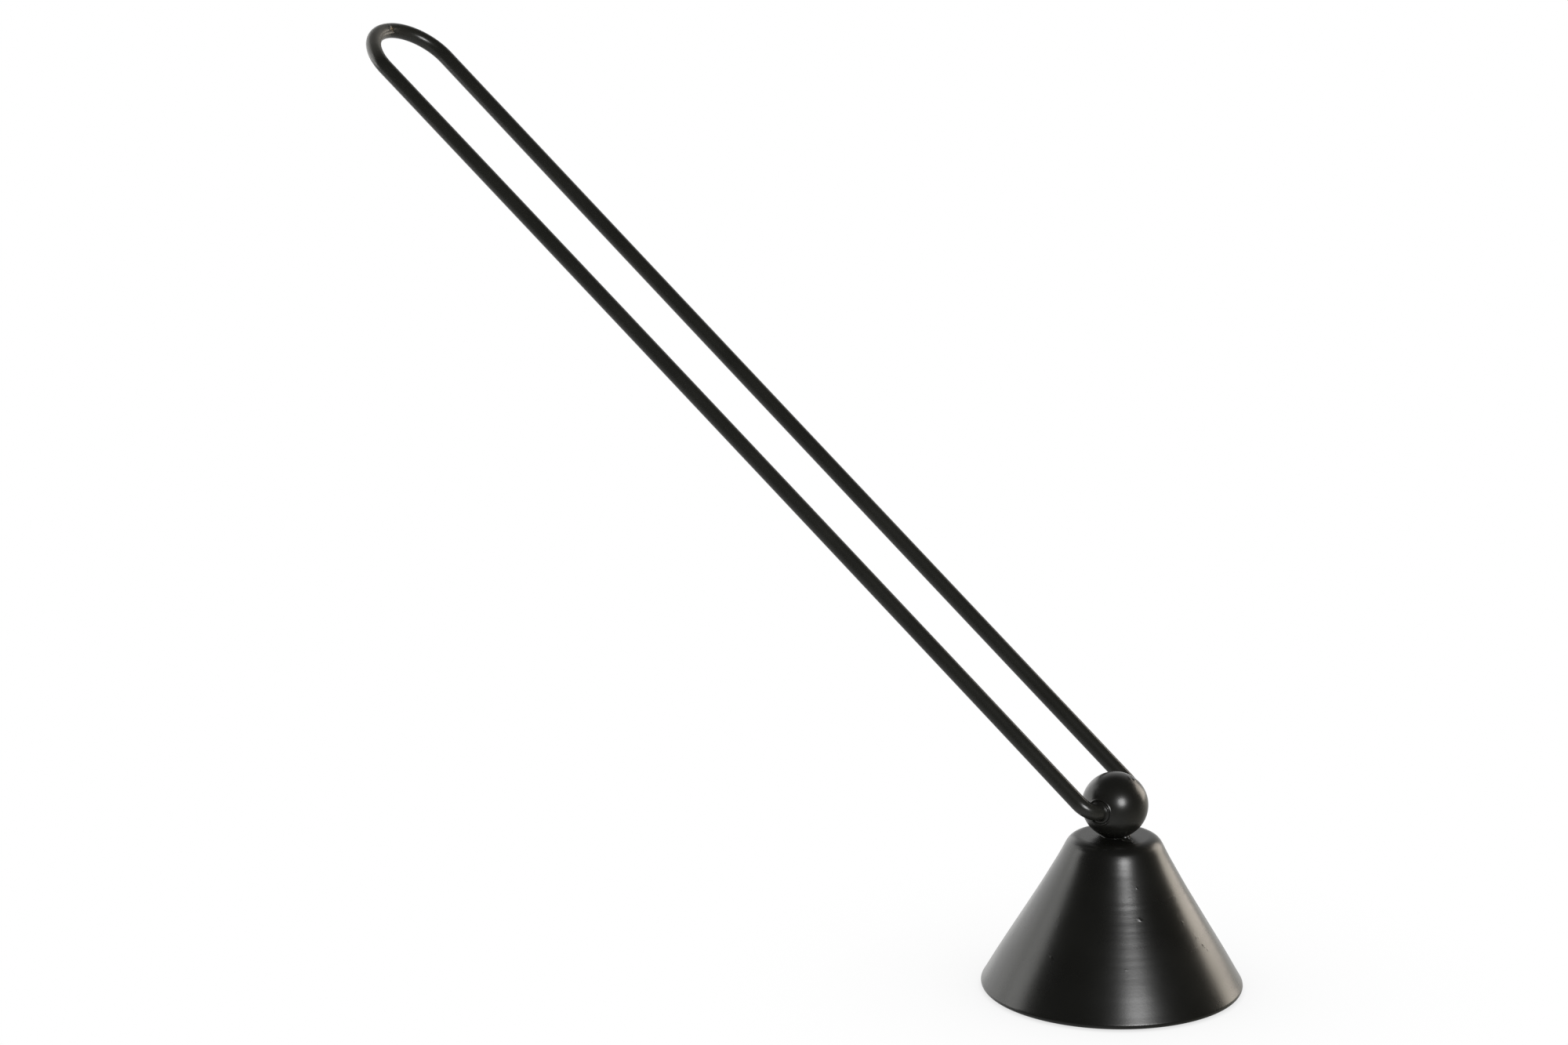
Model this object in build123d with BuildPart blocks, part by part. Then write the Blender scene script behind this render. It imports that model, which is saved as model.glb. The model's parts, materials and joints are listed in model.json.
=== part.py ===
"""Candle snuffer: a thick cone-shaped bell, a ball seated on its crown and a long wire loop for a handle.

The loop's two ends are bent inwards into a bore across the ball, so the handle tilts about the ball.
A screw from inside the bell holds the ball to the crown.

Millimetres. The origin is the middle of the bell's rim, on the surface that the bell stands on.
+Z is up, the handle leans out towards -X, and its pivot runs along Y through the ball's centre.
"""
import os
from math import acos, atan2, cos, hypot, pi, radians, sin, sqrt, tan

from build123d import *

# Bell
rim_diameter = 50.0
crown_diameter = 15.8  # where the cone's side would meet the flat top without the shoulder's round
bell_height = 30.4
wall = 3.4  # square to the cone's side
crown_thickness = 4.0
rim_round = min(1.2, 0.45 * wall)
rim_inner_round = min(0.6, 0.2 * wall)
shoulder_round = 1.8
crown_inner_round = 1.5

# Ball
ball_diameter = 12.7
seat_width = 0.4  # ring of the ball's flat that bears on the crown, outside the screw hole
countersink_width = 1.0  # how far each bore mouth opens out past the bore, on the radius
countersink_angle = 90.0
bore_web = 0.6  # metal left between the tapped hole's end and the bore

# Handle
wire_diameter = 3.1
pivot_clearance = 0.05  # radial, between the wire and the ball's bore
leg_gap = 1.05  # between the ball's side and the inside of each leg
bend_radius = 3.5  # wire centreline, where each leg turns into the bore
leg_length = 212.0  # from the pivot to the start of the end bend
loop_width = 19.3  # between the legs' centrelines at the end bend
tip_gap = 1.2  # between the two wire tips inside the bore
tip_chamfer = 0.3
handle_angle = 37.4  # above level, as it stands at rest

# Screw and lock washer
screw_diameter = 3.0
screw_hole_clearance = 0.15  # radial, in the crown
thread_clearance = 0.03  # radial, in the tapped hole
thread_end_gap = 0.5  # between the screw's tip and the tapped hole's end
screw_head_diameter = 5.5
screw_head_height = 2.0
screw_head_round = 0.4
screw_slot_width = 0.8
screw_slot_depth = 0.9
screw_tip_chamfer = 0.3
washer_diameter = 6.2
washer_thickness = 0.8
washer_clearance = 0.1  # radial, around the screw
washer_split = 0.7
washer_split_angle = 20.0  # lean of the split's cut

# The bell's side is the line that touches the rim's round and meets the top at the crown diameter
rim_round_centre = rim_diameter / 2 - rim_round
side_run = crown_diameter / 2 - rim_round_centre
side_rise = bell_height - rim_round
side_angle = atan2(side_rise, side_run) - acos(rim_round / hypot(side_run, side_rise))
rim_corner_radius = crown_diameter / 2 + bell_height * tan(side_angle)
side_thickness = wall / cos(side_angle)
hollow_height = bell_height - crown_thickness
hollow_rim_radius = rim_corner_radius - side_thickness
hollow_crown_radius = hollow_rim_radius - hollow_height * tan(side_angle)

# The ball stands on its flat, and the pivot runs through its centre
screw_hole_radius = screw_diameter / 2 + screw_hole_clearance
seat_radius = screw_hole_radius + seat_width
ball_radius = ball_diameter / 2
pivot_rise = sqrt(ball_radius**2 - seat_radius**2)
pivot_height = bell_height + pivot_rise
bore_radius = wire_diameter / 2 + pivot_clearance
bore_mouth_radius = bore_radius + countersink_width
bore_mouth_reach = sqrt(ball_radius**2 - bore_mouth_radius**2)
countersink_slope = tan(radians(countersink_angle / 2))
bore_neck = bore_mouth_reach - countersink_width / countersink_slope
bore_flare_radius = bore_mouth_radius + (ball_radius - bore_mouth_reach) * countersink_slope

# The tapped hole stops short of the bore, and the screw stops short of the hole's end
tapped_depth = pivot_rise - bore_radius - bore_web
screw_length = washer_thickness + crown_thickness + tapped_depth - thread_end_gap
screw_seat_height = hollow_height - washer_thickness
washer_bore_radius = screw_diameter / 2 + washer_clearance
slot_cut_length = 2 * screw_head_diameter  # runs out past both sides of the head
split_cut_height = 4 * washer_thickness  # runs out above and below the leaning split

# The legs leave the ball side by side and part slightly towards the end bend
pivot_width = ball_diameter + 2 * leg_gap + wire_diameter
leg_start = pivot_width / 2 - bend_radius

os.makedirs("parts", exist_ok=True)

# Bell: one turned shell with a flat crown, a rounded shoulder and a rounded rim
rim_inner_corner = (hollow_rim_radius, 0)
rim_outer_corner = (rim_corner_radius, 0)
shoulder_corner = (crown_diameter / 2, bell_height)
hollow_corner = (hollow_crown_radius, hollow_height)
bell_rounds = (
    (rim_inner_corner, rim_inner_round),
    (rim_outer_corner, rim_round),
    (shoulder_corner, shoulder_round),
    (hollow_corner, crown_inner_round),
)
with BuildPart() as bell:
    with BuildSketch(Plane.XZ) as bell_section:
        with BuildLine():
            Polyline(
                rim_inner_corner,
                rim_outer_corner,
                shoulder_corner,
                (screw_hole_radius, bell_height),
                (screw_hole_radius, hollow_height),
                hollow_corner,
                close=True,
            )
        make_face()
        for corner, corner_round in bell_rounds:
            fillet(bell_section.vertices().sort_by_distance(corner)[0], corner_round)
    revolve(axis=Axis.Z)
bell.part.label = "bell"
export_step(bell.part, "parts/bell.step")

# Ball: flat below, bored across for the wire and tapped from below for the screw
pivot_plane = Plane((0, 0, pivot_height), x_dir=(0, 1, 0), z_dir=(1, 0, 0))
with BuildPart() as pivot_ball:
    with Locations((0, 0, pivot_height)):
        Sphere(ball_radius)
    split(bisect_by=Plane.XY.offset(bell_height), keep=Keep.TOP)
    with BuildSketch(pivot_plane):
        with BuildLine():
            Polyline(
                (-ball_radius, 0),
                (-ball_radius, bore_flare_radius),
                (-bore_neck, bore_radius),
                (bore_neck, bore_radius),
                (ball_radius, bore_flare_radius),
                (ball_radius, 0),
                close=True,
            )
        make_face()
    revolve(axis=Axis(pivot_plane.origin, pivot_plane.x_dir), mode=Mode.SUBTRACT)
    with BuildSketch(Plane.XY.offset(bell_height)):
        Circle(screw_diameter / 2 + thread_clearance)
    extrude(amount=tapped_depth, mode=Mode.SUBTRACT)
pivot_ball.part.label = "pivot_ball"
export_step(pivot_ball.part, "parts/pivot_ball.step")

# Handle: one bent wire, drawn in the plane of the loop with its first axis along the handle
lean = radians(handle_angle)
loop_plane = Plane((0, 0, pivot_height), x_dir=(-cos(lean), 0, sin(lean)), z_dir=(sin(lean), 0, cos(lean)))
with BuildPart() as handle_loop:
    with BuildLine(loop_plane) as wire_path:
        near_tip = Line((0, tip_gap / 2), (0, leg_start))
        near_bend = JernArc(near_tip @ 1, near_tip % 1, bend_radius, -90)
        near_leg = TangentArc(near_bend @ 1, (leg_length, loop_width / 2), tangent=near_bend % 1)
        end_bend = TangentArc(near_leg @ 1, (leg_length, -loop_width / 2), tangent=near_leg % 1)
        far_leg = TangentArc(end_bend @ 1, (bend_radius, -pivot_width / 2), tangent=end_bend % 1)
        far_bend = JernArc(far_leg @ 1, far_leg % 1, bend_radius, -90)
        far_tip = Line(far_bend @ 1, (0, -tip_gap / 2))
    with BuildSketch(Plane(near_tip @ 0, z_dir=near_tip % 0)):
        Circle(wire_diameter / 2)
    sweep(path=wire_path.wire())
    chamfer(handle_loop.faces().filter_by(GeomType.PLANE).edges(), tip_chamfer)
handle_loop.part.label = "handle_loop"
export_step(handle_loop.part, "parts/handle_loop.step")

# Screw: slotted cheese head inside the bell, shank up through the crown into the ball
with BuildPart() as fixing_screw:
    with BuildSketch(Plane.XY.offset(screw_seat_height)):
        Circle(screw_head_diameter / 2)
    extrude(amount=-screw_head_height)
    fillet(fixing_screw.faces().sort_by(Axis.Z)[0].edges(), screw_head_round)
    with BuildSketch(Plane.XY.offset(screw_seat_height - screw_head_height)):
        Rectangle(slot_cut_length, screw_slot_width)
    extrude(amount=screw_slot_depth, mode=Mode.SUBTRACT)
    with BuildSketch(Plane.XY.offset(screw_seat_height)):
        Circle(screw_diameter / 2)
    extrude(amount=screw_length)
    chamfer(fixing_screw.faces().sort_by(Axis.Z)[-1].edges(), screw_tip_chamfer)
fixing_screw.part.label = "fixing_screw"
export_step(fixing_screw.part, "parts/fixing_screw.step")

# Lock washer: a split ring, shown drawn flat between the screw's head and the crown
with BuildPart() as lock_washer:
    with BuildSketch(Plane.XY.offset(screw_seat_height)):
        Circle(washer_diameter / 2)
        Circle(washer_bore_radius, mode=Mode.SUBTRACT)
    extrude(amount=washer_thickness)
    split_middle = Location((washer_diameter / 2, 0, screw_seat_height), (washer_split_angle, 0, 0))
    with Locations(split_middle):
        Box(washer_diameter, washer_split, split_cut_height, mode=Mode.SUBTRACT)
lock_washer.part.label = "lock_washer"
export_step(lock_washer.part, "parts/lock_washer.step")

wire_volume = pi * wire_diameter**2 / 4 * wire_path.wire().length
print(f"side leans {side_angle * 180 / pi:.2f} degrees, pivot height {pivot_height:.3f}")
print(f"screw length {screw_length:.2f}, wire volume {handle_loop.part.volume:.1f} of {wire_volume:.1f}")
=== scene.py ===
"""Candle snuffer in satin black paint: a spun bell, a bored ball on its crown and a sprung wire loop.

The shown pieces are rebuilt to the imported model's sizes, with the marks that spinning, bending and
painting left on them. Metres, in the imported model's frame: the bell stands on its rim at the origin,
+Z is up, the handle leans out towards -X and its pivot runs along Y.
"""
import json
from math import acos, atan2, ceil, cos, hypot, pi, radians, sin, sqrt, tan

import bmesh
import bpy
import numpy as np
from mathutils import Matrix, Vector

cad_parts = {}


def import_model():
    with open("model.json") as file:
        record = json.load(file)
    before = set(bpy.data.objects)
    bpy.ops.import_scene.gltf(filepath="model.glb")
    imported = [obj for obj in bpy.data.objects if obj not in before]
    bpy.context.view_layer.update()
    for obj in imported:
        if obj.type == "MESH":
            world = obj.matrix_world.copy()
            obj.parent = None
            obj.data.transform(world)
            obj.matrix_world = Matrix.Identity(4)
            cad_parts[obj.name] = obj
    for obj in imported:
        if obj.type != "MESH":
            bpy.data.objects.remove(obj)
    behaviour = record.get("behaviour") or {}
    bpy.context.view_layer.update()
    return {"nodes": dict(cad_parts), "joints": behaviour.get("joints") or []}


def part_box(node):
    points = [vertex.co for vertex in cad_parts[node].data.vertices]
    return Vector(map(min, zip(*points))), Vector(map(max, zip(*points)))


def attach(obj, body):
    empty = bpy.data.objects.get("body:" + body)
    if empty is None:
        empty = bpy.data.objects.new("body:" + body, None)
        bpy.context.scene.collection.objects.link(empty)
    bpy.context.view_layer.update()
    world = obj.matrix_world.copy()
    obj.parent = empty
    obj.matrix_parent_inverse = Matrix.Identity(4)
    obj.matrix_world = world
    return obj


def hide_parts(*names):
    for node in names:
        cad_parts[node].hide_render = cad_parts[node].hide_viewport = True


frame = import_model()

MM = 0.001

# Photograph's view
photo_width = 2000
photo_focal = 5400
sensor_width = 36
view_azimuth = 34.765
view_elevation = 13.832
eye_right = -62.95 * MM
eye_up = 53.673 * MM
eye_back = 805.216 * MM

# Bell
rim_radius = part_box("bell")[1].x
bell_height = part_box("bell")[1].z
crown_radius = 7.9 * MM
wall = 3.4 * MM
crown_thickness = 4.0 * MM
rim_round = 1.2 * MM
rim_inner_round = 0.6 * MM
crown_inner_round = 1.5 * MM
screw_hole_radius = 1.65 * MM

# The spun side isn't quite straight: it is steeper above the rim and below the shoulder than at its waist
shoulder_round = 3.0 * MM
shoulder_steep = radians(4.8)
shoulder_reach = 4.0 * MM
brow_turn = radians(4)
brow_reach = 1.95 * MM
brow_round = 12 * MM
upper_steep = radians(1.5)
upper_reach = 10.5 * MM
upper_round = 60 * MM
waist_inset = 0.12 * MM
waist_round = 140 * MM
rim_steep = radians(1.0)
rim_reach = 6.5 * MM

# The rim's edge is crisper than the model's plain round: it flares a touch above it and turns in below
rim_overrun = 0.72 * MM
rim_flare = radians(0.7)
flare_reach = 2.4 * MM
rim_edge_round = 0.7 * MM
rim_foot = 23.3 * MM
rim_turn_in = radians(13)

# Ball
pivot = Vector(frame["joints"][0]["pos_m"])
ball_radius = (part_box("pivot_ball")[1].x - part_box("pivot_ball")[0].x) / 2
bore_radius = 1.6 * MM
tapped_radius = 1.53 * MM
tapped_depth = 3.81 * MM

# Handle
wire_radius = 1.55 * MM
leg_gap = 1.05 * MM
bend_radius = 3.5 * MM
leg_length = 212.0 * MM
loop_width = 19.3 * MM
tip_gap = 1.2 * MM
handle_lean = radians(37.4)
loop_along = np.array([-cos(handle_lean), 0, sin(handle_lean)])
loop_across = np.array([0, -1, 0])
loop_face = np.cross(loop_along, loop_across)


def direction(azimuth, elevation):
    """The way from the object out to a place at that azimuth and elevation, in degrees."""
    turn = radians(azimuth)
    rise = radians(elevation)
    return Vector((sin(turn) * cos(rise), -cos(turn) * cos(rise), sin(rise)))


def plan_angle(turn):
    """The angle round +Z of a place that is turned so many degrees to the right of the view."""
    return radians(view_azimuth - 90 + turn)


def bump_shape(far):
    """A smooth bump: one at its middle, and next to nothing two widths away."""
    return np.exp(-far**2)


# Meshes

def finished(name, mesh, material, body, replaced=None):
    """A piece with its place in its mesh, smooth, in one finish, that rides on its body."""
    mesh.materials.clear()
    mesh.materials.append(material)
    mesh.polygons.foreach_set("use_smooth", [True] * len(mesh.polygons))
    piece = bpy.data.objects.new(name, mesh)
    bpy.context.scene.collection.objects.link(piece)
    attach(piece, body)
    if replaced:
        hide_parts(replaced)
    return piece


def stretch(start, end, step):
    """Points from start up to, not including, end, about a step apart."""
    start = np.asarray(start)
    end = np.asarray(end)
    count = max(1, ceil(np.linalg.norm(end - start) / step))
    share = np.arange(count)[:, None] / count
    return start * (1 - share) + end * share


def rounded_line(corners):
    """A line with rounded corners: each is (across, along, round, step on its round, step after it)."""
    places = [np.array(corner[:2]) for corner in corners]
    arcs = [places[0][None, :]]
    for before, place, after, corner in zip(places, places[1:], places[2:], corners[1:]):
        inward = (before - place) / np.linalg.norm(before - place)
        onward = (after - place) / np.linalg.norm(after - place)
        half = acos(inward @ onward) / 2
        middle = (inward + onward) / np.linalg.norm(inward + onward)
        centre = place + middle * corner[2] / sin(half)
        first = place + inward * corner[2] / tan(half) - centre
        last = place + onward * corner[2] / tan(half) - centre
        sweep = pi - 2 * half
        share = np.linspace(0, 1, max(5, ceil(corner[2] * sweep / corner[3]) + 1))[:, None]
        swing = first * np.sin((1 - share) * sweep) + last * np.sin(share * sweep)
        arcs.append(centre + swing / sin(sweep))
    arcs.append(places[-1][None, :])
    points = []
    for arc_points, following, corner in zip(arcs, arcs[1:], corners):
        points.append(arc_points[:-1])
        points.append(stretch(arc_points[-1], following[0], corner[4]))
    return np.concatenate(points + [arcs[-1]])


def turned_grid(section, columns, along, start):
    """Places on a section turned round an axis, as rows of the section by columns round the axis."""
    along = np.array(along)
    start = np.array(start)
    side = np.cross(along, start)
    angles = np.linspace(0, 2 * pi, columns, endpoint=False)
    across = np.cos(angles)[:, None] * start + np.sin(angles)[:, None] * side
    return section[:, 0, None, None] * across[None] + section[:, 1, None, None] * along


def grid_mesh(name, grid):
    """A closed mesh on a grid of places that joins up both ways."""
    rows, columns = grid.shape[:2]
    row = np.arange(rows)[:, None]
    column = np.arange(columns)[None, :]
    next_row = (row + 1) % rows
    next_column = (column + 1) % columns
    loops = (row * columns + column, row * columns + next_column,
             next_row * columns + next_column, next_row * columns + column)
    faces = np.stack(loops, axis=-1).reshape(-1, 4)
    mesh = bpy.data.meshes.new(name)
    mesh.from_pydata(grid.reshape(-1, 3).tolist(), [], faces.tolist())
    shape = bmesh.new()
    shape.from_mesh(mesh)
    bmesh.ops.recalc_face_normals(shape, faces=shape.faces)
    shape.to_mesh(mesh)
    shape.free()
    return mesh


def mesh_places(mesh):
    """The places of a mesh's points, as rows."""
    places = np.empty(3 * len(mesh.vertices))
    mesh.vertices.foreach_get("co", places)
    return places.reshape(-1, 3)


def refine(mesh, places, reach, cuts):
    """Cuts the faces near some places into smaller ones."""
    shape = bmesh.new()
    shape.from_mesh(mesh)
    points = mesh_places(mesh)
    near = np.zeros(len(points), dtype=bool)
    for place in places:
        near |= np.linalg.norm(points - place, axis=1) < reach
    edges = [edge for edge in shape.edges if near[edge.verts[0].index] and near[edge.verts[1].index]]
    bmesh.ops.subdivide_edges(shape, edges=edges, cuts=cuts, use_grid_fill=True)
    bmesh.ops.recalc_face_normals(shape, faces=shape.faces)
    shape.to_mesh(mesh)
    shape.free()


# Bell

# The model's side is a plain cone, from the crown's edge to the round of the rim
side_run = crown_radius - (rim_radius - rim_round)
side_rise = bell_height - rim_round
side_angle = atan2(side_rise, side_run) - acos(rim_round / hypot(side_run, side_rise))
side_rim = crown_radius + bell_height * tan(side_angle)
hollow_height = bell_height - crown_thickness
hollow_rim = side_rim - wall / cos(side_angle)
hollow_crown = hollow_rim - hollow_height * tan(side_angle)

# Nibs in the bell's paint: turn from the view, height, width, length, slant, rise, how many lie together
bell_marks = (
    (15, 18.3, 0.34, 0.80, 40, 0.055, 1),
    (17, 23.5, 0.26, 0.36, 20, 0.025, 1),
    (30, 22.2, 0.24, 0.28, 0, 0.025, 1),
    (9, 22.0, 0.20, 0.22, 0, 0.012, 1),
    (3, 10.3, 0.22, 0.24, 0, 0.015, 1),
    (50, 16.5, 0.22, 0.34, 30, 0.035, 4),
    (48, 17.8, 0.18, 0.22, 0, 0.020, 2),
    (57, 13.2, 0.24, 0.34, -20, 0.035, 4),
    (60, 11.6, 0.26, 0.44, 35, 0.045, 3),
    (62, 10.6, 0.22, 0.30, 10, 0.035, 4),
    (55, 20.5, 0.18, 0.22, 0, 0.020, 2),
    (63, 4.0, 0.20, 0.22, 0, 0.015, 2),
    (-85, 11.0, 0.28, 0.36, 0, 0.030, 1),
    (-41, 11.0, 0.28, 0.44, 15, 0.030, 1),
    (-46, 17.6, 0.24, 0.26, 0, 0.015, 2),
    (-44, 16.0, 0.20, 0.22, 0, 0.012, 1),
    (-55, 2.6, 0.24, 0.26, 0, 0.020, 1),
)
# More of them, on the sides that the view doesn't show
hidden_marks = 20
mark_seed = 7
mark_spread = 0.4 * MM
mark_reach = 0.55 * MM
mark_cuts = 4

# Rings that the spinning tool left: their lengths down the side, and where they fade in and out
ring_seed = 11
ring_count = 24
ring_depth = 0.0008 * MM
ring_lengths = (1.1, 2.8)
ring_bottom = 2 * MM
ring_bottom_fade = 2 * MM
ring_top = 28.4 * MM
ring_top_fade = 1.5 * MM

bell_columns = 256


def all_bell_marks():
    """Every nib as (angle, height, width, length, slant, rise), in radians and metres."""
    draw = np.random.default_rng(mark_seed)
    groups = list(bell_marks)
    for _ in range(hidden_marks):
        width = draw.uniform(0.20, 0.30)
        groups.append((draw.uniform(75, 270), draw.uniform(3, 25), width, 1.3 * width,
                       draw.uniform(-45, 45), draw.uniform(0.015, 0.035), draw.integers(1, 4)))
    marks = []
    for turn, height, width, length, slant, rise, count in groups:
        radius = side_rim - height * MM * tan(side_angle)
        for number in range(count):
            spread = mark_spread if number else 0
            size = draw.uniform(0.5, 0.9) if number else 1
            marks.append((plan_angle(turn) + spread * draw.normal() / radius,
                          height * MM + spread * draw.normal(),
                          size * width * MM, size * length * MM,
                          radians(slant + number * draw.uniform(-30, 30)), size * rise * MM))
    return marks


def bell_section():
    """The bell's outline, from the screw hole through the hollow, round the rim and up to the crown."""
    rim_lean = side_angle - rim_steep
    low_waist = rim_radius + rim_overrun - rim_reach * tan(rim_lean)
    flare = rim_radius + rim_overrun - flare_reach * tan(rim_lean)
    flare_lean = tan(rim_lean + rim_flare)
    edge_height = (flare + flare_reach * flare_lean - rim_foot) / (flare_lean + 1 / tan(rim_turn_in))
    edge = rim_foot + edge_height / tan(rim_turn_in)
    high_waist = crown_radius + upper_reach * tan(side_angle) - waist_inset
    shoulder = high_waist - (upper_reach - shoulder_reach) * tan(side_angle - upper_steep)
    brow_lean = side_angle - shoulder_steep
    brow = shoulder - (shoulder_reach - brow_reach) * tan(brow_lean)
    crown_corner = brow - brow_reach * tan(brow_lean + brow_turn)
    side_step = 0.20 * MM
    return rounded_line((
        (screw_hole_radius, hollow_height, 0, 0, 0.4 * MM),
        (hollow_crown, hollow_height, crown_inner_round, 0.15 * MM, 0.9 * MM),
        (hollow_rim, 0, rim_inner_round, 0.12 * MM, 0.3 * MM),
        (rim_foot, 0, rim_inner_round, 0.12 * MM, 0.3 * MM),
        (edge, edge_height, rim_edge_round, 0.06 * MM, side_step),
        (flare, flare_reach, upper_round / 2, side_step, side_step),
        (low_waist, rim_reach, waist_round, side_step, side_step),
        (high_waist, bell_height - upper_reach, waist_round, side_step, side_step),
        (shoulder, bell_height - shoulder_reach, upper_round, side_step, side_step),
        (brow, bell_height - brow_reach, brow_round, 0.12 * MM, 0.12 * MM),
        (crown_corner, bell_height, shoulder_round, 0.15 * MM, 0.3 * MM),
        (screw_hole_radius, bell_height, 0, 0, 0),
    ))


def ring_lift(height):
    """How far the spinning tool's rings lift the side at a height, most of all near the shoulder."""
    draw = np.random.default_rng(ring_seed)
    down = (bell_height - height) / cos(side_angle)
    share = height / bell_height
    lift = np.zeros(len(height))
    for _ in range(ring_count):
        length = draw.uniform(*ring_lengths) * MM
        phase = draw.uniform(0, 2 * pi)
        lift += ring_depth * length / (2 * MM) * np.sin(2 * pi * down / length + phase)
    fade_in = np.clip((height - ring_bottom) / ring_bottom_fade, 0, 1)
    fade_out = np.clip((ring_top - height) / ring_top_fade, 0, 1)
    return lift * (fade_in * fade_out) * (0.25 + share**2)


def mark_lift(places, marks):
    """How far the nibs lift the side: each is a small bump with three lobes, turned differently on each."""
    angle = np.arctan2(places[:, 1], places[:, 0])
    radius = np.hypot(places[:, 0], places[:, 1])
    lift = np.zeros(len(places))
    for mark_angle, height, width, length, slant, rise in marks:
        across = ((angle - mark_angle + pi) % (2 * pi) - pi) * radius
        upward = (places[:, 2] - height) / cos(side_angle)
        along = upward * cos(slant) - across * sin(slant)
        aside = upward * sin(slant) + across * cos(slant)
        lobes = 1 + 0.25 * np.sin(3 * np.arctan2(aside, along) + 40 * mark_angle)
        far = lobes * np.hypot(aside / (width / 2), along / (length / 2))
        lift = np.maximum(lift, rise * bump_shape(far))
    return lift


def bell_piece(material):
    """The bell: a turned shell with a soft shoulder, the rings of spinning and nibs in its paint."""
    section = bell_section()
    mesh = grid_mesh("bell_shell", turned_grid(section, bell_columns, (0, 0, 1), (1, 0, 0)))
    marks = all_bell_marks()
    spots = []
    for angle, height, *_ in marks:
        radius = side_rim - height * tan(side_angle)
        spots.append(np.array([radius * cos(angle), radius * sin(angle), height]))
    refine(mesh, spots, mark_reach, mark_cuts)
    places = mesh_places(mesh)
    height = places[:, 2]
    radius = np.hypot(places[:, 0], places[:, 1])
    side_bottom = 1 * MM
    side_top = bell_height - 0.3 * MM
    inside_wall = side_rim - wall / 2 / cos(side_angle) - height * tan(side_angle)
    outside = (radius > inside_wall) & (height < side_top) & (height > side_bottom)
    # The cuts lie on flat faces, so their points first go out to the turned side
    side = section[np.argmax(section[:, 0]):-1]
    places[outside, :2] *= (np.interp(height, side[:, 1], side[:, 0]) / radius)[outside, None]
    lift = (ring_lift(height) + mark_lift(places, marks)) * outside
    outward = np.stack([places[:, 0] / radius * cos(side_angle), places[:, 1] / radius * cos(side_angle),
                        np.full(len(places), sin(side_angle))], axis=-1)
    mesh.vertices.foreach_set("co", (places + lift[:, None] * outward).ravel())
    return finished("bell_shell", mesh, material, "bell", "bell")


# Ball

# Lumps and pits in the ball's paint: turn from the view, elevation, width, height
ball_lumps = (
    (74, 56, 0.80, 0.10),
    (63, 62, 0.60, 0.08),
    (69, 58, 0.40, -0.08),
    (84, 53, 0.70, 0.08),
    (70, 66, 0.55, 0.06),
    (95, 60, 0.60, 0.05),
    (-150, 35, 0.70, 0.05),
    (-120, 10, 0.50, -0.05),
    (150, 48, 0.60, 0.05),
)

ball_columns = 220

# Bore mouth, narrowed by its paint: a lip round its edge, a groove inside it, and paint pooled at the wire
bore_mouth_radius = 2.35 * MM
lip_width = 0.30 * MM
lip_height = 0.13 * MM
groove_width = 0.13 * MM
groove_depth = 0.22 * MM
pool_radius = 1.80 * MM
pool_height = 0.34 * MM


def mouth_line():
    """The outline of one bore mouth, from the ball's skin in to the bore."""
    foot_radius = bore_mouth_radius + lip_width
    foot = sqrt(ball_radius**2 - foot_radius**2)
    edge = sqrt(ball_radius**2 - bore_mouth_radius**2)
    before_radius = foot_radius + lip_width
    before = sqrt(ball_radius**2 - before_radius**2)
    groove_radius = bore_mouth_radius - groove_width
    fine = 0.03 * MM
    return rounded_line((
        (before_radius, before, 0, 0, 0.08 * MM),
        (foot_radius, foot, 0.2 * MM, fine, 0.05 * MM),
        (bore_mouth_radius + 0.04 * MM, edge + lip_height, 0.12 * MM, fine, 0.06 * MM),
        (groove_radius, edge - groove_depth, 0.05 * MM, fine, 0.06 * MM),
        (groove_radius - groove_width, edge - 0.25 * groove_depth, 0.1 * MM, fine, 0.1 * MM),
        (pool_radius, edge + 0.05 * MM, 0.15 * MM, fine, 0.06 * MM),
        (bore_radius, edge + pool_height, 0, 0, 0),
    ))


def ball_section():
    """The ball's outline about its bore: skin, mouth, bore and the other mouth."""
    mouth = mouth_line()
    skin_start = atan2(mouth[0, 0], mouth[0, 1])
    turn = np.linspace(skin_start, pi - skin_start, 150)[1:-1]
    skin = np.stack([np.sin(turn), np.cos(turn)], axis=-1) * ball_radius
    far_mouth = mouth * np.array([1, -1])
    bore = stretch(far_mouth[-1], mouth[-1], 0.6 * MM)[1:]
    return np.concatenate([skin, far_mouth, bore, mouth[::-1]])


def ball_piece(material):
    """The ball: bored across for the wire, flat and tapped below, with lumps in its paint."""
    grid = turned_grid(ball_section(), ball_columns, (0, 1, 0), (0, 0, 1))
    distance = np.linalg.norm(grid, axis=-1)
    normal = grid / distance[..., None]
    lift = np.zeros(distance.shape)
    for turn, rise, width, height in ball_lumps:
        middle = np.array(direction(view_azimuth + turn, rise))
        far = np.linalg.norm(normal - middle, axis=-1) * ball_radius
        lift += height * MM * bump_shape(far / (width * MM / 2))
    slack = 0.001 * MM
    on_skin = distance > ball_radius - slack
    mesh = grid_mesh("ball", grid + (lift * on_skin)[..., None] * normal + np.array(pivot))
    cut_seat(mesh)
    return finished("ball", mesh, material, "bell", "pivot_ball")


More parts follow.
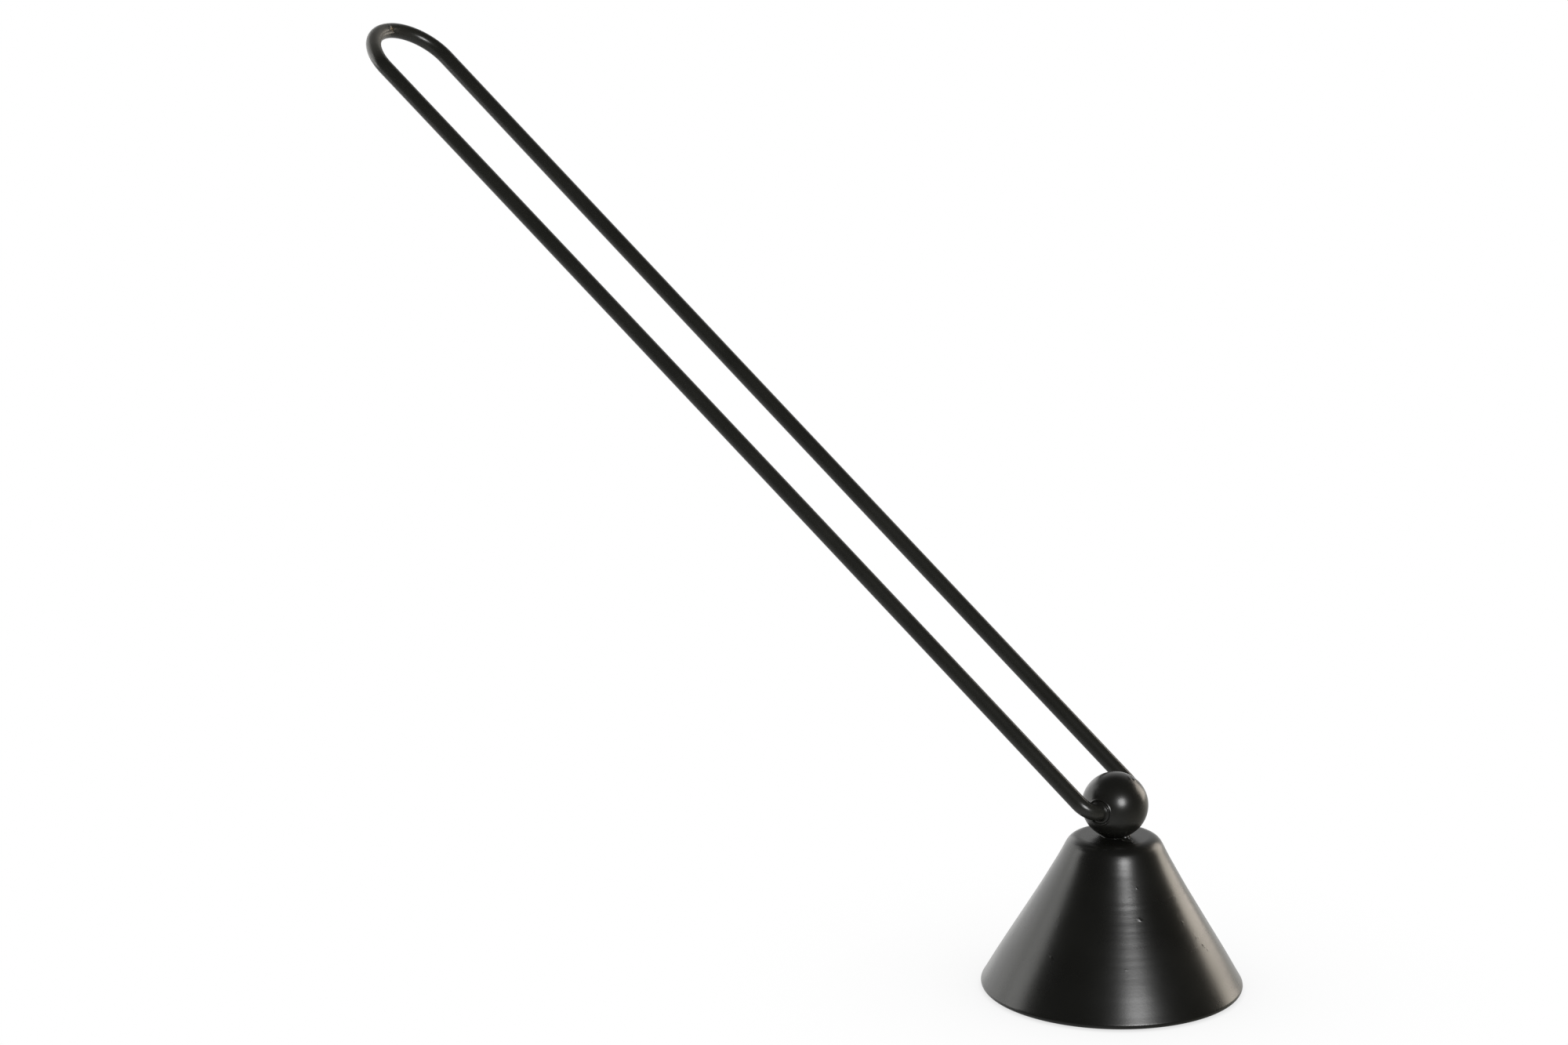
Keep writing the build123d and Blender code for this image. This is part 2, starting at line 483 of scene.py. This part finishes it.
def cut_seat(mesh):
    """Cuts the ball's flat at the crown and sinks its tapped hole."""
    shape = bmesh.new()
    shape.from_mesh(mesh)
    everything = shape.verts[:] + shape.edges[:] + shape.faces[:]
    cut = bmesh.ops.bisect_plane(shape, geom=everything, plane_co=(0, 0, bell_height),
                                 plane_no=(0, 0, 1), clear_inner=True)
    seat_edges = [part for part in cut["geom_cut"] if isinstance(part, bmesh.types.BMEdge)]
    ring = bmesh.ops.create_circle(shape, segments=48, radius=tapped_radius,
                                   matrix=Matrix.Translation((0, 0, bell_height)))
    ring_edges = list({edge for vert in ring["verts"] for edge in vert.link_edges})
    bmesh.ops.bridge_loops(shape, edges=seat_edges + ring_edges)
    raised = bmesh.ops.extrude_edge_only(shape, edges=ring_edges)
    raised_verts = [part for part in raised["geom"] if isinstance(part, bmesh.types.BMVert)]
    raised_edges = [part for part in raised["geom"] if isinstance(part, bmesh.types.BMEdge)]
    top_edges = [edge for edge in raised_edges if all(vert in raised_verts for vert in edge.verts)]
    bmesh.ops.translate(shape, verts=raised_verts, vec=(0, 0, tapped_depth))
    bmesh.ops.edgeloop_fill(shape, edges=top_edges)
    bmesh.ops.recalc_face_normals(shape, faces=shape.faces)
    shape.to_mesh(mesh)
    shape.free()


# Paint gathered at the ball's seat: a thin ring with uneven width and height, and a run and lumps that are
# each drawn between two places on the crown: radius and turn from the view, twice, then width and height
bead_seed = 5
bead_radius = 2.25 * MM
bead_width = (0.20, 0.07)
bead_height = (0.07, 0.02)
seat_lumps = (
    ((3.3, 24), (5.2, 35), 0.95, 0.38),
    ((2.5, 36), (3.0, 50), 0.60, 0.42),
    ((2.6, 58), (3.1, 66), 0.55, 0.40),
    ((3.2, 44), (3.6, 50), 0.36, 0.30),
    ((2.4, 78), (2.9, 84), 0.45, 0.30),
    ((2.5, -70), (2.6, -40), 0.50, 0.16),
    ((2.5, 170), (2.7, 200), 0.60, 0.20),
)


def add_lump(shape, first, last, width, height):
    """Adds a rounded lump of paint that lies on the crown between two places."""
    ends = []
    for radius, turn in (first, last):
        angle = plan_angle(turn)
        ends.append(Vector((radius * MM * cos(angle), radius * MM * sin(angle), bell_height)))
    along = ends[1] - ends[0]
    turned = Matrix.Rotation(atan2(along.y, along.x), 4, "Z")
    place = Matrix.Translation((ends[0] + ends[1]) / 2) @ turned
    size = Matrix.Diagonal((along.length / 2 + width * MM / 3, width * MM / 2, height * MM, 1))
    bmesh.ops.create_uvsphere(shape, u_segments=28, v_segments=16, radius=1, matrix=place @ size)


def bead_piece(material):
    """The paint that gathered where the ball meets the crown."""
    angles = np.linspace(0, 2 * pi, 360, endpoint=False)
    draw = np.random.default_rng(bead_seed)
    unevenness = np.zeros(len(angles))
    for wave in range(2, 13):
        unevenness += draw.uniform(-1, 1) / wave * np.sin(wave * angles + draw.uniform(0, 2 * pi))
    width = bead_width[0] + bead_width[1] * unevenness
    height = bead_height[0] + bead_height[1] * unevenness
    turn = np.linspace(0, 2 * pi, 20, endpoint=False)
    radius = bead_radius + (0.9 * width[None, :] + np.cos(turn)[:, None] * width[None, :]) * MM
    rise = bell_height + np.sin(turn)[:, None] * height[None, :] * MM
    grid = np.stack([radius * np.cos(angles), radius * np.sin(angles), rise], axis=-1)
    mesh = grid_mesh("seat_paint_bead", grid)
    shape = bmesh.new()
    shape.from_mesh(mesh)
    for lump in seat_lumps:
        add_lump(shape, *lump)
    bmesh.ops.recalc_face_normals(shape, faces=shape.faces)
    shape.to_mesh(mesh)
    shape.free()
    return finished("seat_paint_bead", mesh, material, "bell")


# Handle

pivot_half = ball_radius + leg_gap + wire_radius
leg_run = leg_length - bend_radius
leg_spread = loop_width / 2 - pivot_half
leg_sweep = 2 * atan2(leg_spread, leg_run)
end_centre = leg_length + loop_width / 2 * tan(leg_sweep)
end_radius = loop_width / 2 / cos(leg_sweep)

wire_facets = 56

# Mark of the drying hook on the end bend. Each place is a turn along the bend and a turn round the wire
hook_pit = (radians(0), radians(122))
hook_scrape = ((radians(33), radians(135)), (radians(-5), radians(147)))
# Middle of the paint worn thin beside the hook's mark, whose lighter colour there is also a painted grey
# reflection
worn_sheen_middle = (radians(34), radians(75))
pit_depth = 0.20 * MM
pit_width = 0.32 * MM
pit_lip_height = 0.12 * MM
pit_lip_reach = 0.62 * MM
pit_lip_width = 0.24 * MM
scrape_depth = 0.14 * MM
scrape_width = 0.22 * MM
hook_reach = 1.6 * MM
hook_cuts = 3


def arc(centre, radius, start, sweep, step):
    """Points on an arc, in the plane of the loop."""
    count = max(2, ceil(abs(radius * sweep) / step))
    turn = start + sweep * np.linspace(0, 1, count + 1)
    return np.stack([centre[0] + radius * np.cos(turn), centre[1] + radius * np.sin(turn)], axis=-1)


def wire_path():
    """The wire's centreline from tip to tip, with closer points where it bends."""
    leg_step = 0.9 * MM
    bend_step = 0.2 * MM
    leg_radius = (leg_run**2 + leg_spread**2) / (2 * leg_spread)
    leg_start = pivot_half - bend_radius
    tip = stretch((0, tip_gap / 2), (0, leg_start), leg_step)
    bend = arc((bend_radius, leg_start), bend_radius, pi, -pi / 2, bend_step)
    leg = arc((bend_radius, pivot_half + leg_radius), leg_radius, -pi / 2, leg_sweep, leg_step)
    end_turn = pi / 2 + leg_sweep
    end_bend = arc((end_centre, 0), end_radius, end_turn, -end_turn, bend_step)
    half = np.concatenate([tip, bend[:-1], leg[:-1], end_bend])
    flat = np.concatenate([half, half[-2::-1] * np.array([1, -1])])
    return np.array(pivot) + flat[:, :1] * loop_along + flat[:, 1:] * loop_across


def add_node(tree, kind, values=None, **settings):
    """A node with its settings, and its plain input values by socket name or number."""
    node = tree.nodes.new(kind)
    for name, value in settings.items():
        setattr(node, name, value)
    for name, value in (values or {}).items():
        node.inputs[name].default_value = value
    return node


def wire_tree():
    """Geometry nodes: a round wire drawn along a path."""
    tree = bpy.data.node_groups.new("Wire drawn along a path", "GeometryNodeTree")
    tree.interface.new_socket("Path", in_out="INPUT", socket_type="NodeSocketGeometry")
    tree.interface.new_socket("Wire Radius", in_out="INPUT", socket_type="NodeSocketFloat")
    tree.interface.new_socket("Facets", in_out="INPUT", socket_type="NodeSocketInt")
    tree.interface.new_socket("Finish", in_out="INPUT", socket_type="NodeSocketMaterial")
    tree.interface.new_socket("Wire", in_out="OUTPUT", socket_type="NodeSocketGeometry")
    given = add_node(tree, "NodeGroupInput")
    to_curve = add_node(tree, "GeometryNodeMeshToCurve")
    circle = add_node(tree, "GeometryNodeCurvePrimitiveCircle")
    drawn = add_node(tree, "GeometryNodeCurveToMesh", {"Fill Caps": True})
    smooth = add_node(tree, "GeometryNodeSetShadeSmooth")
    real = add_node(tree, "GeometryNodeRealizeInstances")
    finish = add_node(tree, "GeometryNodeSetMaterial")
    out = add_node(tree, "NodeGroupOutput")
    link = tree.links.new
    link(given.outputs["Path"], to_curve.inputs["Mesh"])
    link(given.outputs["Wire Radius"], circle.inputs["Radius"])
    link(given.outputs["Facets"], circle.inputs["Resolution"])
    link(to_curve.outputs["Curve"], drawn.inputs["Curve"])
    link(circle.outputs["Curve"], drawn.inputs["Profile Curve"])
    link(drawn.outputs["Mesh"], smooth.inputs["Geometry"])
    link(smooth.outputs["Geometry"], real.inputs["Geometry"])
    link(real.outputs["Geometry"], finish.inputs["Geometry"])
    link(given.outputs["Finish"], finish.inputs["Material"])
    link(finish.outputs["Geometry"], out.inputs["Wire"])
    return tree


def made_by_nodes(name, mesh, tree, values):
    """The plain mesh that a geometry node tree makes from a mesh, with its inputs set by name."""
    carrier = bpy.data.objects.new(name, mesh)
    bpy.context.scene.collection.objects.link(carrier)
    modifier = carrier.modifiers.new("nodes", "NODES")
    modifier.node_group = tree
    items = tree.interface.items_tree
    sockets = {item.name: item.identifier for item in items if item.in_out == "INPUT"}
    for key, value in values.items():
        modifier[sockets[key]] = value
    seen = carrier.evaluated_get(bpy.context.evaluated_depsgraph_get())
    made = bpy.data.meshes.new_from_object(seen)
    carrier.modifiers.clear()
    bpy.data.objects.remove(carrier)
    made.name = name
    return made


def bend_place(turn, spin):
    """The place on the end bend's surface at a turn along the bend and a turn round the wire."""
    outward = cos(turn) * loop_along + sin(turn) * loop_across
    normal = cos(spin) * outward + sin(spin) * loop_face
    return np.array(pivot) + end_centre * loop_along + end_radius * outward + wire_radius * normal


def press_hook_mark(mesh):
    """Presses the hook's mark into the end bend: a pit with a raised lip, and a scrape beside it."""
    places = mesh_places(mesh)
    gap = places - np.array(pivot) - end_centre * loop_along
    forward = gap @ loop_along
    sideways = gap @ loop_across
    reach = np.hypot(forward, sideways)
    turn = np.arctan2(sideways, forward)
    spin = np.arctan2(gap @ loop_face, reach - end_radius)
    outward = (forward[:, None] * loop_along + sideways[:, None] * loop_across) / reach[:, None]
    normal = np.cos(spin)[:, None] * outward + np.sin(spin)[:, None] * loop_face
    pit = np.linalg.norm(places - bend_place(*hook_pit), axis=1)
    lift = -pit_depth * bump_shape(pit / pit_width)
    lift += pit_lip_height * bump_shape((pit - pit_lip_reach) / pit_lip_width) * (turn > -radians(1))
    for share in np.linspace(0, 1, 80):
        along_turn = hook_scrape[0][0] * (1 - share) + hook_scrape[1][0] * share
        along_spin = hook_scrape[0][1] * (1 - share) + hook_scrape[1][1] * share
        far = np.linalg.norm(places - bend_place(along_turn, along_spin), axis=1)
        lift = np.minimum(lift, -scrape_depth * bump_shape(far / scrape_width) + np.maximum(lift, 0))
    lift *= np.linalg.norm(gap, axis=1) < 2 * end_radius
    mesh.vertices.foreach_set("co", (places + lift[:, None] * normal).ravel())


def wire_piece(material):
    """The handle: one wire, bent, with the mark of the hook that held it while its paint dried."""
    path = wire_path()
    line = bpy.data.meshes.new("wire_path")
    line.from_pydata(path.tolist(), [(index, index + 1) for index in range(len(path) - 1)], [])
    mesh = made_by_nodes("wire_loop", line, wire_tree(),
                         {"Wire Radius": wire_radius, "Facets": wire_facets, "Finish": material})
    marked = [bend_place(*place) for place in (hook_pit, *hook_scrape)]
    refine(mesh, marked, hook_reach, hook_cuts)
    press_hook_mark(mesh)
    return finished("wire_loop", mesh, material, "handle", "handle_loop")


# Finishes

paint_ior = 1.45
bump_depth = 0.004 * MM
dark_tint = (0.84, 0.84, 0.71)
pale_tint = (1.18, 1.18, 1.02)
thin_paint_and_sheen_colour = (0.075, 0.073, 0.066)
# Colour of the paint worn thin on the end bend, made lighter to stand in for a painted grey reflection
# there
undercoat_colour = (0.20, 0.15, 0.09)
worn_dullness = 0.16


def new_group(name, inputs, outputs):
    """A shader node group with named values in and out."""
    tree = bpy.data.node_groups.new(name, "ShaderNodeTree")
    for socket, start in inputs.items():
        item = tree.interface.new_socket(socket, in_out="INPUT", socket_type="NodeSocketFloat")
        item.default_value = start
    for socket in outputs:
        tree.interface.new_socket(socket, in_out="OUTPUT", socket_type="NodeSocketFloat")
    return tree, add_node(tree, "NodeGroupInput"), add_node(tree, "NodeGroupOutput")


def noise(tree, coordinates, scale, detail):
    """A noise texture on some coordinates."""
    node = add_node(tree, "ShaderNodeTexNoise", {"Scale": scale, "Detail": detail})
    tree.links.new(coordinates, node.inputs["Vector"])
    return node.outputs["Fac"]


def ranged(tree, value, low, high, to_low, to_high):
    """A value taken from one range to another, and held within it."""
    node = add_node(tree, "ShaderNodeMapRange",
                    {"From Min": low, "From Max": high, "To Min": to_low, "To Max": to_high})
    tree.links.new(value, node.inputs["Value"])
    return node.outputs["Result"]


def joined(tree, operation, first, second):
    """Two values, linked or plain, joined by a math operation."""
    node = add_node(tree, "ShaderNodeMath", operation=operation)
    for socket, value in zip(node.inputs, (first, second)):
        if isinstance(value, (int, float)):
            socket.default_value = value
        else:
            tree.links.new(value, socket)
    return node.outputs["Value"]


def mixed(tree, factor, first, second):
    """A colour between two others, each linked or plain."""
    node = add_node(tree, "ShaderNodeMix", data_type="RGBA")
    tree.links.new(factor, node.inputs["Factor"])
    for socket, colour in ((node.inputs["A"], first), (node.inputs["B"], second)):
        if isinstance(colour, tuple):
            socket.default_value = (*colour, 1)
        else:
            tree.links.new(colour, socket)
    return node.outputs["Result"]


def paint_group():
    """Sprayed satin paint: peel, a finer mottle and grain, dust nibs, and patches that dried duller."""
    tree, given, out = new_group(
        "Sprayed satin paint",
        {"Gloss Loss": 0.30, "Patch": 0.03, "Peel": 1.0, "Mottle": 0.5, "Grain": 1.0, "Nibs": 1.0},
        ("Shade", "Dullness", "Height"),
    )
    place = add_node(tree, "ShaderNodeTexCoord").outputs["Object"]
    patches = noise(tree, place, 90, 4)
    peel = noise(tree, place, 700, 2)
    mottle = noise(tree, place, 2600, 1)
    grain = noise(tree, place, 5200, 3)
    cells = add_node(tree, "ShaderNodeTexVoronoi", {"Scale": 420, "Randomness": 1.0})
    tree.links.new(place, cells.inputs["Vector"])
    chosen = ranged(tree, cells.outputs["Color"], 0.90, 0.97, 0, 1)
    nib = joined(tree, "MULTIPLY", ranged(tree, cells.outputs["Distance"], 0.10, 0.0, 0, 1.6), chosen)
    heights = (
        joined(tree, "MULTIPLY", peel, given.outputs["Peel"]),
        joined(tree, "MULTIPLY", mottle, given.outputs["Mottle"]),
        joined(tree, "MULTIPLY", joined(tree, "MULTIPLY", grain, 0.2), given.outputs["Grain"]),
        joined(tree, "MULTIPLY", nib, given.outputs["Nibs"]),
    )
    height = heights[0]
    for part in heights[1:]:
        height = joined(tree, "ADD", height, part)
    tree.links.new(height, out.inputs["Height"])
    patch = joined(tree, "MULTIPLY", ranged(tree, patches, 0.3, 0.7, -1, 1), given.outputs["Patch"])
    tree.links.new(joined(tree, "ADD", given.outputs["Gloss Loss"], patch), out.inputs["Dullness"])
    tree.links.new(ranged(tree, patches, 0.25, 0.75, 0, 1), out.inputs["Shade"])
    return tree


def paint_material(name, group, values, level):
    """Satin black paint at a level of grey: its material, and what a finish may add to, by name."""
    material = bpy.data.materials.new(name)
    material.use_nodes = True
    tree = material.node_tree
    tree.nodes.clear()
    paint = add_node(tree, "ShaderNodeGroup", node_tree=group)
    for socket, value in values.items():
        paint.inputs[socket].default_value = value
    dark = tuple(part * level for part in dark_tint)
    pale = tuple(part * level for part in pale_tint)
    colour = mixed(tree, paint.outputs["Shade"], dark, pale)
    shader = add_node(tree, "ShaderNodeBsdfPrincipled", {"IOR": paint_ior})
    bump = add_node(tree, "ShaderNodeBump", {"Strength": 1.0, "Distance": bump_depth})
    out = add_node(tree, "ShaderNodeOutputMaterial")
    link = tree.links.new
    link(colour, shader.inputs["Base Color"])
    link(paint.outputs["Dullness"], shader.inputs["Roughness"])
    link(paint.outputs["Height"], bump.inputs["Height"])
    link(bump.outputs["Normal"], shader.inputs["Normal"])
    link(shader.outputs["BSDF"], out.inputs["Surface"])
    return material, {"paint": paint, "shader": shader, "colour": colour, "bump": bump}


def bell_material(group):
    """The bell's paint, with fine lines of spinning showing through it, most of all near the shoulder."""
    values = {"Gloss Loss": 0.28, "Mottle": 0.7, "Nibs": 0.25}
    material, parts = paint_material("satin_black_bell", group, values, 0.0064)
    tree = material.node_tree
    place = add_node(tree, "ShaderNodeTexCoord").outputs["Object"]
    squeezed = add_node(tree, "ShaderNodeMapping", {"Scale": (120, 120, 1600)})
    tree.links.new(place, squeezed.inputs["Vector"])
    split = add_node(tree, "ShaderNodeSeparateXYZ")
    tree.links.new(place, split.inputs["Vector"])
    strength = ranged(tree, split.outputs["Z"], 0.2 * bell_height, 0.9 * bell_height, 0.5, 2.0)
    lines = joined(tree, "MULTIPLY", noise(tree, squeezed.outputs["Vector"], 1, 1), strength)
    height = joined(tree, "ADD", parts["paint"].outputs["Height"], lines)
    tree.links.new(height, parts["bump"].inputs["Height"])
    return material


def wire_material(group):
    """The wire's smoother paint, bare in the hook's mark and worn thin and dull on one side of it, where
    its lighter colour is also a painted grey reflection.
    """
    values = {"Gloss Loss": 0.26, "Patch": 0.02, "Peel": 0.15, "Mottle": 0.0, "Grain": 0.0, "Nibs": 0.0}
    material, parts = paint_material("satin_black_wire", group, values, 0.016)
    tree = material.node_tree
    place = add_node(tree, "ShaderNodeTexCoord").outputs["Object"]
    far = add_node(tree, "ShaderNodeVectorMath", operation="DISTANCE")
    far.inputs[1].default_value = bend_place(*hook_pit)
    tree.links.new(place, far.inputs[0])
    ragged = joined(tree, "MULTIPLY", ranged(tree, noise(tree, place, 2600, 3), 0.3, 0.7, -0.4, 0.4), MM)
    bare = ranged(tree, joined(tree, "ADD", far.outputs["Value"], ragged), 0.15 * MM, 0.50 * MM, 1, 0)
    worn_sheen_far = add_node(tree, "ShaderNodeVectorMath", operation="DISTANCE")
    worn_sheen_far.inputs[1].default_value = bend_place(*worn_sheen_middle)
    tree.links.new(place, worn_sheen_far.inputs[0])
    sideways = add_node(tree, "ShaderNodeVectorMath", operation="DOT_PRODUCT")
    sideways.inputs[1].default_value = loop_across
    tree.links.new(place, sideways.inputs[0])
    wander = ranged(tree, noise(tree, place, 900, 2), 0.3, 0.7, -0.5, 0.5)
    edge = joined(tree, "ADD", sideways.outputs["Value"], joined(tree, "MULTIPLY", wander, MM))
    one_side = ranged(tree, edge, 0, 0.6 * MM, 0, 1)
    near = ranged(tree, worn_sheen_far.outputs["Value"], 3.5 * MM, 8.5 * MM, 1, 0)
    worn_and_sheen = joined(tree, "MULTIPLY", near, one_side)
    # Worn thin paint and a painted grey reflection: a lighter colour on one side of the hook's mark
    thin_paint_and_sheen = mixed(tree, worn_and_sheen, parts["colour"], thin_paint_and_sheen_colour)
    undercoat = mixed(tree, bare, thin_paint_and_sheen, undercoat_colour)
    tree.links.new(undercoat, parts["shader"].inputs["Base Color"])
    duller = joined(tree, "MULTIPLY", worn_and_sheen, worn_dullness)
    dulled = joined(tree, "ADD", parts["paint"].outputs["Dullness"], duller)
    tree.links.new(dulled, parts["shader"].inputs["Roughness"])
    return material


def steel_material():
    """Plain turned steel, for the screw and its washer."""
    material = bpy.data.materials.new("plain_steel_turned")
    material.use_nodes = True
    tree = material.node_tree
    tree.nodes.clear()
    place = add_node(tree, "ShaderNodeTexCoord").outputs["Object"]
    rings = add_node(tree, "ShaderNodeTexWave", {"Scale": 900, "Distortion": 1.5, "Detail": 2},
                     wave_type="RINGS", rings_direction="Z")
    tree.links.new(place, rings.inputs["Vector"])
    stain = noise(tree, place, 600, 4)
    shader = add_node(tree, "ShaderNodeBsdfPrincipled", {"Metallic": 1.0})
    bump = add_node(tree, "ShaderNodeBump", {"Strength": 1.0, "Distance": bump_depth})
    out = add_node(tree, "ShaderNodeOutputMaterial")
    link = tree.links.new
    link(mixed(tree, stain, (0.34, 0.33, 0.31), (0.50, 0.50, 0.49)), shader.inputs["Base Color"])
    link(ranged(tree, stain, 0.3, 0.7, 0.26, 0.42), shader.inputs["Roughness"])
    link(rings.outputs["Fac"], bump.inputs["Height"])
    link(bump.outputs["Normal"], shader.inputs["Normal"])
    link(shader.outputs["BSDF"], out.inputs["Surface"])
    return material


# Studio

def camera():
    """The photograph's camera."""
    back = direction(view_azimuth, view_elevation)
    right = direction(view_azimuth + 90, 0)
    up = back.cross(right)
    lens = bpy.data.cameras.new("photo_camera")
    lens.sensor_width = sensor_width
    lens.lens = photo_focal / photo_width * sensor_width
    lens.clip_start = 0.01
    lens.clip_end = 100
    eye = bpy.data.objects.new("photo_camera", lens)
    bpy.context.scene.collection.objects.link(eye)
    eye.location = pivot + right * eye_right + up * eye_up + back * eye_back
    eye.rotation_mode = "QUATERNION"
    eye.rotation_quaternion = (-back).to_track_quat("-Z", "Y")
    bpy.context.scene.camera = eye


def panel(name, turn, elevation, wide, tall, radiance, colour, shape):
    """A soft panel of light at a turn from the camera, so many degrees wide and tall to the object."""
    distance = 0.9
    lamp = bpy.data.lights.new(name, "AREA")
    lamp.shape = shape
    lamp.size = 2 * distance * tan(radians(wide / 2))
    lamp.size_y = 2 * distance * tan(radians(tall / 2))
    filled = pi / 4 if shape == "ELLIPSE" else 1
    lamp.energy = 4 * filled * lamp.size * lamp.size_y * radiance
    lamp.color = colour
    light = bpy.data.objects.new(name, lamp)
    bpy.context.scene.collection.objects.link(light)
    out = direction(view_azimuth + turn, elevation)
    light.location = pivot + out * distance
    light.rotation_mode = "QUATERNION"
    light.rotation_quaternion = out.to_track_quat("Z", "Y")


def world():
    """A dim room with a pale sweep under and behind the object for its gloss, and white for the camera."""
    room = 0.052
    sweep_front = 0.22
    sweep_back = 1.35
    sweep_near = 0.52
    backdrop_low = 0.78
    backdrop_high = 0.55
    left_share = 1.12
    right_share = 0.70
    studio = bpy.data.worlds.new("studio")
    bpy.context.scene.world = studio
    studio.use_nodes = True
    tree = studio.node_tree
    tree.nodes.clear()
    link = tree.links.new
    way = add_node(tree, "ShaderNodeTexCoord").outputs["Generated"]
    towards = add_node(tree, "ShaderNodeVectorMath", operation="DOT_PRODUCT")
    towards.inputs[1].default_value = direction(view_azimuth, 0)
    link(way, towards.inputs[0])
    parts = add_node(tree, "ShaderNodeSeparateXYZ")
    link(way, parts.inputs["Vector"])
    rise = parts.outputs["Z"]
    far_sweep = ranged(tree, towards.outputs["Value"], 0.10, -0.65, sweep_front, sweep_back)
    far_share = joined(tree, "MULTIPLY", far_sweep, ranged(tree, rise, -0.15, -0.55, 1, 0))
    sweep = joined(tree, "ADD", far_share, ranged(tree, rise, -0.15, -0.55, 0, sweep_near))
    behind = ranged(tree, towards.outputs["Value"], -0.35, -0.70, 0, 1)
    upright = ranged(tree, rise, 0.35, 0.60, backdrop_low, backdrop_high)
    under_edge = ranged(tree, rise, 0.60, 0.85, 1, 0)
    backdrop = joined(tree, "MULTIPLY", joined(tree, "MULTIPLY", behind, upright), under_edge)
    upper = joined(tree, "MAXIMUM", backdrop, room)
    above = joined(tree, "MULTIPLY", upper, ranged(tree, rise, -0.05, 0.05, 0, 1))
    below = joined(tree, "MULTIPLY", sweep, ranged(tree, rise, -0.05, 0.05, 1, 0))
    rightward = add_node(tree, "ShaderNodeVectorMath", operation="DOT_PRODUCT")
    rightward.inputs[1].default_value = direction(view_azimuth + 90, 0)
    link(way, rightward.inputs[0])
    warm = ranged(tree, rightward.outputs["Value"], 0.3, 0.8, 0, 1)
    soft = add_node(tree, "ShaderNodeBackground")
    link(mixed(tree, warm, (1, 1, 0.99), (1, 0.96, 0.84)), soft.inputs["Color"])
    sideways = ranged(tree, rightward.outputs["Value"], -0.3, 0.6, left_share, right_share)
    link(joined(tree, "MULTIPLY", joined(tree, "ADD", above, below), sideways), soft.inputs["Strength"])
    white = add_node(tree, "ShaderNodeBackground", {"Color": (1, 1, 1, 1), "Strength": 1.0})
    path = add_node(tree, "ShaderNodeLightPath")
    shown = joined(tree, "MAXIMUM", path.outputs["Is Camera Ray"], path.outputs["Is Transmission Ray"])
    choice = add_node(tree, "ShaderNodeMixShader")
    out = add_node(tree, "ShaderNodeOutputWorld")
    link(shown, choice.inputs["Fac"])
    link(soft.outputs["Background"], choice.inputs[1])
    link(white.outputs["Background"], choice.inputs[2])
    link(choice.outputs["Shader"], out.inputs["Surface"])


def floor():
    """A plain white floor that keeps a soft shadow of the object, and is clear from below."""
    size = 3.0
    shadow_reach = 0.06
    shadow_depth = 0.72
    mesh = bpy.data.meshes.new("floor")
    corners = [(-size, -size, 0), (size, -size, 0), (size, size, 0), (-size, size, 0)]
    mesh.from_pydata(corners, [], [(0, 1, 2, 3)])
    material = bpy.data.materials.new("white_floor")
    material.use_nodes = True
    tree = material.node_tree
    tree.nodes.clear()
    link = tree.links.new
    nearness = add_node(tree, "ShaderNodeAmbientOcclusion", {"Distance": shadow_reach}, samples=12)
    shadow = ranged(tree, nearness.outputs["AO"], 0.0, 1.0, shadow_depth, 1.0)
    clear = add_node(tree, "ShaderNodeBsdfTransparent")
    matt = add_node(tree, "ShaderNodeBsdfDiffuse", {"Color": (0.8, 0.8, 0.8, 1)})
    path = add_node(tree, "ShaderNodeLightPath")
    choice = add_node(tree, "ShaderNodeMixShader")
    out = add_node(tree, "ShaderNodeOutputMaterial")
    below = add_node(tree, "ShaderNodeNewGeometry").outputs["Backfacing"]
    shown = joined(tree, "MAXIMUM", path.outputs["Is Camera Ray"], path.outputs["Is Glossy Ray"])
    shown = joined(tree, "MAXIMUM", shown, below)
    link(shadow, clear.inputs["Color"])
    link(shown, choice.inputs["Fac"])
    link(matt.outputs["BSDF"], choice.inputs[1])
    link(clear.outputs["BSDF"], choice.inputs[2])
    link(choice.outputs["Shader"], out.inputs["Surface"])
    mesh.materials.append(material)
    plane = bpy.data.objects.new("floor", mesh)
    bpy.context.scene.collection.objects.link(plane)
    plane.location.z = -0.05 * MM


paint = paint_group()
ball_paint = paint_material("satin_black_ball", paint, {"Gloss Loss": 0.28, "Nibs": 0.3}, 0.0092)[0]
bell_piece(bell_material(paint))
ball_piece(ball_paint)
bead_piece(ball_paint)
wire_piece(wire_material(paint))
steel = steel_material()
for node in ("fixing_screw", "lock_washer"):
    frame["nodes"][node].material_slots[0].material = steel

camera()
world()
panel("key_softbox", 20.3, 24.7, 22.6, 23.8, 15.0, (1, 1, 1), "ELLIPSE")
panel("left_front_panel", -101, 13, 18, 38, 2.4, (1, 1, 0.97), "RECTANGLE")
panel("left_panel", -120, 17, 20, 46, 1.3, (1, 1, 0.97), "RECTANGLE")
panel("left_far_panel", -149, 14, 36, 28, 0.80, (1, 1, 0.99), "RECTANGLE")
panel("right_front_strip", 119, 14, 14, 29, 4.0, (1, 0.91, 0.78), "RECTANGLE")
panel("right_strip", 134, 14.5, 16, 30, 3.1, (1, 0.89, 0.78), "RECTANGLE")
floor()
bpy.context.scene.view_settings.view_transform = "Standard"
